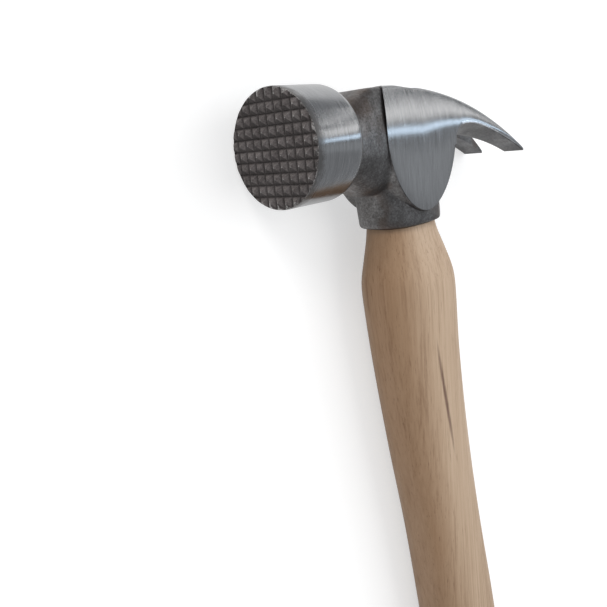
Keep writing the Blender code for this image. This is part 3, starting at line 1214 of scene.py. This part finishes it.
        # The cylinder's corners are counted from a quarter turn
        for v in bar.data.vertices:
            turn = math.atan2(v.co.y, v.co.x) / (2 * math.pi) - 0.25
            x, s = outline[round(corners * turn) % corners]
            at = spots[0] + s
            v.co = (x, at, v.co.z) if across else (x, v.co.z, at)
        stack = bar.modifiers.new("stack", "ARRAY")
        stack.use_relative_offset = False
        stack.use_constant_offset = True
        stack.constant_offset_displace = (0, TOOTH_PITCH, 0) if across else (0, 0, TOOTH_PITCH)
        stack.count = len(spots)
        bpy.ops.object.modifier_apply(modifier=stack.name)
        Bench.close()
        return Bench.paint(bar, self.finishes, (Zone.TEETH,))

    def make_milling(self) -> Piece:
        """Both rows of bars, ended at the rim of the face.

        Returns:
            The bars as one cutter.
        """
        bars = self.make_grooves(Way.UP)
        Bench.combine(bars, self.make_grooves(Way.ACROSS), Merge.JOIN)
        reach = 4 * TOOTH_DEPTH
        disc = Bench.rod("rim", self.radius - self.chamfer + self.tooth_runout, -reach, reach)
        Bench.combine(bars, Bench.paint(disc, self.finishes, (Zone.TEETH,)), Merge.SHARE)
        return bars

    def build(self, place: Matrix) -> Piece:
        """Model the head and lay it in its place.

        Args:
            place: Head frame to floor frame.

        Returns:
            The dressed head.
        """
        head = self.make_barrel()
        for tool in (self.make_core(), self.make_cheeks()):
            Bench.combine(head, tool, Merge.JOIN)
        for tool in (self.make_eye(), self.make_slot(), self.make_milling()):
            Bench.combine(head, tool, Merge.CUT)
        Bench.settle(head, place, self.crisp_angle)
        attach(head, "root")
        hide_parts("hammer_head")
        return head


@dataclass
class Handle:
    """Curved hickory handle with its slotted tenon.

    Each row of the line gives a distance below the collar, set-back, depth and width, in millimetres.
    """

    eye: Eye
    finishes: Finishes
    butt_round: float = 3.0 * MM
    butt_steps: int = 8
    step: float = 2.6 * MM
    line: tuple[tuple[float, float, float, float], ...] = (
        (0.0, 0.0, 29.2, 20.6),
        (4.0, 0.4, 31.0, 21.6),
        (12.0, 1.4, 36.0, 25.0),
        (20.0, 2.1, 40.4, 28.2),
        (27.0, 2.6, 41.4, 29.0),
        (55.0, 4.2, 39.8, 27.8),
        (93.0, 8.4, 38.0, 26.8),
        (134.0, 14.5, 37.2, 26.2),
        (184.0, 21.8, 38.8, 27.4),
        (225.0, 26.8, 40.0, 28.0),
        (270.0, 30.2, 38.6, 27.4),
        (305.0, 30.8, 38.4, 27.6),
        (335.0, 29.2, 43.4, 30.6),
        (352.0, 27.2, 43.0, 30.4),
    )
    kerf_depth: float = 32.0 * MM
    kerf_top: float = 5.0 * MM
    kerf_tip: float = 1.4 * MM
    slit_depth: float = 15.0 * MM
    slit_width: float = 13.0 * MM
    slit_top: float = 2.6 * MM
    slit_tip: float = 0.8 * MM
    slit_spacing: float = 12.0 * MM
    gap: float = 0.3 * MM
    past: float = 0.9 * MM
    crisp_angle: float = 40.0

    @property
    def top(self) -> float:
        """Height of the shoulder under the collar."""
        return -self.eye.collar_drop - self.eye.gap

    def sizes(self, s: float) -> tuple[float, float, float]:
        """Set-back, depth and width at a distance below the collar, on a smooth curve through the rows.

        Args:
            s: Distance in metres.

        Returns:
            The three sizes in metres.
        """
        rows = self.line
        d = s / MM
        k = max(i for i in range(len(rows) - 1) if rows[i][0] <= d or i == 0)
        a, b = rows[k], rows[k + 1]
        before = rows[max(k - 1, 0)]
        after = rows[min(k + 2, len(rows) - 1)]
        span = b[0] - a[0]
        t = (d - a[0]) / span
        found = []
        for c in (1, 2, 3):
            rise = (b[c] - before[c]) / (b[0] - before[0]) * span
            fall = (after[c] - a[c]) / (after[0] - a[0]) * span
            value = (2 * t ** 3 - 3 * t ** 2 + 1) * a[c] + (t ** 3 - 2 * t ** 2 + t) * rise
            value += (3 * t ** 2 - 2 * t ** 3) * b[c] + (t ** 3 - t ** 2) * fall
            found.append(value * MM)
        return found[0], found[1], found[2]

    def ring(self, s: float, inset: float = 0.0) -> Ring:
        """Section at a distance below the collar.

        Args:
            s: Distance in metres.
            inset: How far the section is drawn in.

        Returns:
            The ring.
        """
        back, depth, width = self.sizes(s)
        section = oval(depth / 2 - inset, width / 2 - inset, self.eye.roundness, EYE_SIDES)
        return [(self.eye.centre(self.top) + back + x, y, self.top - s) for x, y in section]

    def end_zone(self, face: Face) -> Zone:
        """End grain on the two flat ends, long grain on the rest."""
        return Zone.END_GRAIN if abs(face.normal.z) > 0.999 and len(face.vertices) > 4 else Zone.WOOD

    def make_stick(self) -> Piece:
        """Tenon, handle and rounded butt, still uncut.

        Returns:
            The stick.
        """
        rings = [self.eye.ring(z, 0.0) for z in (self.eye.top, self.eye.top / 2, 0.0, self.top)]
        straight = self.line[-1][0] * MM - self.butt_round
        steps = math.ceil(straight / self.step)
        rings += [self.ring(straight * i / steps) for i in range(steps + 1)]
        for turn in quarter(self.butt_steps)[1:]:
            down = straight + self.butt_round * math.sin(turn)
            rings.append(self.ring(down, self.butt_round * (1 - math.cos(turn))))
        stick = Bench.wrap("handle_dressed", rings)
        return Bench.paint(stick, self.finishes, (Zone.WOOD, Zone.END_GRAIN), self.end_zone)

    def cutter(self, name: str, middle: float, depth: float, top: Pair, tip: Pair) -> Piece:
        """Tapered cutter let into the tenon, with room round the wedge that goes there.

        Args:
            name: Name of the cutter.
            middle: Its place along the eye.
            depth: Depth of the wedge.
            top: Length and width of the wedge at its top.
            tip: The same at its tip.

        Returns:
            The cutter.
        """
        rings = []
        foot = self.eye.top - depth - self.gap
        for z, (length, width) in ((self.eye.top + self.past, top), (foot, tip)):
            a = length / 2 + self.gap
            b = width / 2 + self.gap
            corners = ((-a, -b), (a, -b), (a, b), (-a, b))
            rings.append([(self.eye.centre(z) + middle + x, y, z) for x, y in corners])
        return Bench.paint(Bench.wrap(name, rings), self.finishes, (Zone.END_GRAIN,))

    def mark_front(self, piece: Piece) -> None:
        """Note how far each point lies towards the front of the handle, from 0 at the middle to 1.

        Args:
            piece: The handle, still in the head's own frame.
        """
        marks = []
        for v in piece.data.vertices:
            back, depth, _ = self.sizes(max(0.0, self.top - v.co.z))
            marks.append(max(0.0, (self.eye.centre(self.top) + back - v.co.x) / (depth / 2)))
        note = piece.data.attributes.new(FRONT, "FLOAT", "POINT")
        note.data.foreach_set("value", marks)

    def build(self, place: Matrix) -> Piece:
        """Model the handle and lay it in its place.

        Args:
            place: Head frame to floor frame.

        Returns:
            The dressed handle.
        """
        piece = self.make_stick()
        through = 2 * self.eye.depth
        kerf = ((through, self.kerf_top), (through, self.kerf_tip))
        slit = ((self.slit_top, self.slit_width), (self.slit_tip, self.slit_width))
        Bench.combine(piece, self.cutter("kerf", 0.0, self.kerf_depth, *kerf), Merge.CUT)
        for middle in (-self.slit_spacing / 2, self.slit_spacing / 2):
            Bench.combine(piece, self.cutter("slit", middle, self.slit_depth, *slit), Merge.CUT)
        self.mark_front(piece)
        Bench.settle(piece, place, self.crisp_angle)
        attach(piece, "root")
        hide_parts("handle")
        return piece


@dataclass
class Wedges:
    """Wooden wedge and the two steel ones across it, which keep their CAD shapes."""

    finishes: Finishes

    def dress(self) -> list[Piece]:
        """Give each wedge its finish.

        Returns:
            The wedges.
        """
        zones = {
            "wooden_wedge": Zone.WEDGE_WOOD,
            "steel_wedge_front": Zone.WEDGE_STEEL,
            "steel_wedge_rear": Zone.WEDGE_STEEL,
        }
        for name, zone in zones.items():
            for slot in bpy.data.objects[name].material_slots:
                slot.material = self.finishes[zone]
        return [bpy.data.objects[name] for name in zones]


# Studio


@dataclass(frozen=True)
class Lamp:
    """Soft rectangular lamp, with its power in watts; polished metal shows it where it is mirrored."""

    name: str
    at: Point
    aim: Point
    size: Pair
    power: float
    tint: Colour
    mirrored: bool = True

    def hang(self) -> None:
        """Put the lamp in its place, turned to its aim."""
        data = bpy.data.lights.new(self.name, "AREA")
        data.shape = "RECTANGLE"
        data.size, data.size_y = self.size
        data.energy = self.power
        data.color = self.tint
        body = bpy.data.objects.new(self.name, data)
        bpy.context.scene.collection.objects.link(body)
        body.location = self.at
        body.visible_glossy = self.mirrored
        body.rotation_euler = (Vector(self.aim) - Vector(self.at)).to_track_quat("-Z", "Y").to_euler()


@dataclass
class Studio:
    """Pale floor, soft lamps and the camera, which is placed in the head's own frame."""

    place: Matrix
    viewpoint: Point = (-148.18 * MM, -157.24 * MM, 3.36 * MM)
    right: Point = (0.69004, -0.71575, -0.10747)
    down: Point = (-0.24542, -0.09170, -0.96507)
    forward: Point = (0.68090, 0.69231, -0.23893)
    sensor: float = 36.0
    focal_pixels: float = 680.0
    picture_pixels: float = 607.0
    floor_half: float = 4.0
    floor_grey: Colour = (0.62, 0.62, 0.62)
    floor_glow: float = 0.52
    room_tint: Colour = (0.93, 0.96, 1.0)
    room_level: float = 0.46
    head: Point = (-0.18, -0.03, 0.03)
    strip_reach: float = 1.2
    strip_height: float = 0.8

    def camera(self) -> None:
        """Set the camera where the photograph was taken from."""
        data = bpy.data.cameras.new("camera")
        data.sensor_width = self.sensor
        data.lens = self.sensor * self.focal_pixels / self.picture_pixels
        data.clip_start = 0.01
        body = bpy.data.objects.new("camera", data)
        bpy.context.scene.collection.objects.link(body)
        turn = Matrix((Vector(self.right), -Vector(self.down), -Vector(self.forward))).transposed().to_4x4()
        body.matrix_world = self.place @ Matrix.Translation(self.viewpoint) @ turn
        bpy.context.scene.camera = body

    def floor(self) -> None:
        """Lay the pale floor, which glows where it is seen or mirrored but throws no extra light."""
        Bench.clear()
        bpy.ops.mesh.primitive_plane_add(size=2 * self.floor_half, location=(0, 0, 0))
        floor = bpy.context.object
        floor.name = "floor"
        board = Board("floor_white")
        board.shader.inputs["Base Color"].default_value = (*self.floor_grey, 1.0)
        board.shader.inputs["Roughness"].default_value = 0.9
        board.shader.inputs["Specular IOR Level"].default_value = 0.1
        rays = board.add("ShaderNodeLightPath").outputs
        seen = board.math("MAXIMUM", rays["Is Camera Ray"], rays["Is Glossy Ray"])
        seen = board.math("MAXIMUM", seen, rays["Is Transmission Ray"])
        board.shader.inputs["Emission Color"].default_value = (1.0, 1.0, 1.0, 1.0)
        board.link(board.math("MULTIPLY", seen, self.floor_glow), board.shader.inputs["Emission Strength"])
        floor.data.materials.append(board.material)

    def light(self) -> None:
        """Light the hammer with a soft room, four strips that the steel mirrors and two unmirrored lamps."""
        world = bpy.data.worlds.new("room")
        bpy.context.scene.world = world
        world.use_nodes = True
        back = world.node_tree.nodes["Background"]
        back.inputs["Color"].default_value = (*self.room_tint, 1.0)
        back.inputs["Strength"].default_value = self.room_level
        for name, way, width, power, tint in (
            ("sash", (-0.50, 0.77, 0.40), 0.06, 0.50, (1.0, 0.985, 0.965)),
            ("window", (-0.255, 0.80, 0.54), 0.20, 0.86, (1.0, 0.99, 0.97)),
            ("sky", (-0.073, 0.81, 0.58), 0.086, 0.66, (0.66, 0.83, 1.0)),
            ("room", (0.13, 0.81, 0.57), 0.22, 0.12, (0.90, 0.96, 1.0)),
        ):
            at = Vector(self.head) + self.strip_reach * Vector(way)
            Lamp(name, tuple(at), self.head, (width, self.strip_height), power, tint).hang()
        Lamp("key", (-0.1, 0.8, 1.3), (0.0, 0.0, 0.0), (2.0, 1.7), 12.5, (1.0, 0.985, 0.96), False).hang()
        Lamp("front", (-0.85, -0.6, 0.45), self.head, (0.4, 0.4), 4.0, (1.0, 0.98, 0.95), False).hang()

    def build(self) -> None:
        """Set the floor, the lamps and the camera."""
        self.floor()
        self.light()
        self.camera()
        bpy.context.scene.view_settings.view_transform = "Standard"


def make_finishes(pose: Matrix) -> Finishes:
    """Build each finish once.

    Args:
        pose: Head frame to floor frame.

    Returns:
        Material by zone.
    """
    streak = pose @ Vector((66.5 * MM, -13.6 * MM, -104.2 * MM))
    specs = (
        GroundSteel(pose=pose),
        # Brighter steel for the claw ridge: partly a bright worn edge, partly a painted highlight
        GroundSteel(Zone.EDGE, dull=(0.55, 0.55, 0.56), bright=(0.78, 0.78, 0.79)),
        ForgedSteel(),
        # A darker copy of the forged steel, for the faces of cheeks and claw that point down or back
        ForgedSteel(
            Zone.UNDER,
            dark=(0.055, 0.053, 0.053),
            middle=(0.095, 0.094, 0.095),
            pale=(0.17, 0.17, 0.172),
            rust=(0.075, 0.066, 0.060),
        ),
        # The teeth get painted shade in the grooves and a painted shadow on their lower facets
        ToothSteel(Zone.TEETH, (0.085, 0.072, 0.069), (0.235, 0.210, 0.204), 0.5, pose=pose),
        ToothSteel(Zone.WORN, (0.085, 0.077, 0.074), (0.40, 0.385, 0.375), 0.36, worn_over=(0.45, 0.62)),
        ToothSteel(Zone.WEDGE_STEEL, (0.10, 0.10, 0.105), (0.30, 0.30, 0.31), 0.38),
        Hickory(streak=(streak.x, streak.y), is_handle=True),
        Hickory(
            Zone.WEDGE_WOOD,
            pale=(0.42, 0.27, 0.15),
            mid=(0.33, 0.2, 0.11),
            dark=(0.2, 0.115, 0.06),
            rings=Noise((30.0, 700.0, 560.0), rough=0.5, warp=0.6),
        ),
        EndGrain(),
    )
    return {spec.zone: spec.make() for spec in specs}


def main() -> None:
    """Build the dressed hammer and its studio."""
    logging.basicConfig(level=logging.INFO, format="%(name)s: %(message)s")
    pose = RestPose().matrix()
    finishes = make_finishes(pose)
    eye = Eye()
    pieces = [Head(eye, finishes).build(pose), Handle(eye, finishes).build(pose)]
    pieces += Wedges(finishes).dress()
    for piece in pieces:
        log.info("%s: %d faces", piece.name, len(piece.data.polygons))
    Studio(pose).build()


if __name__ == "__main__":
    main()
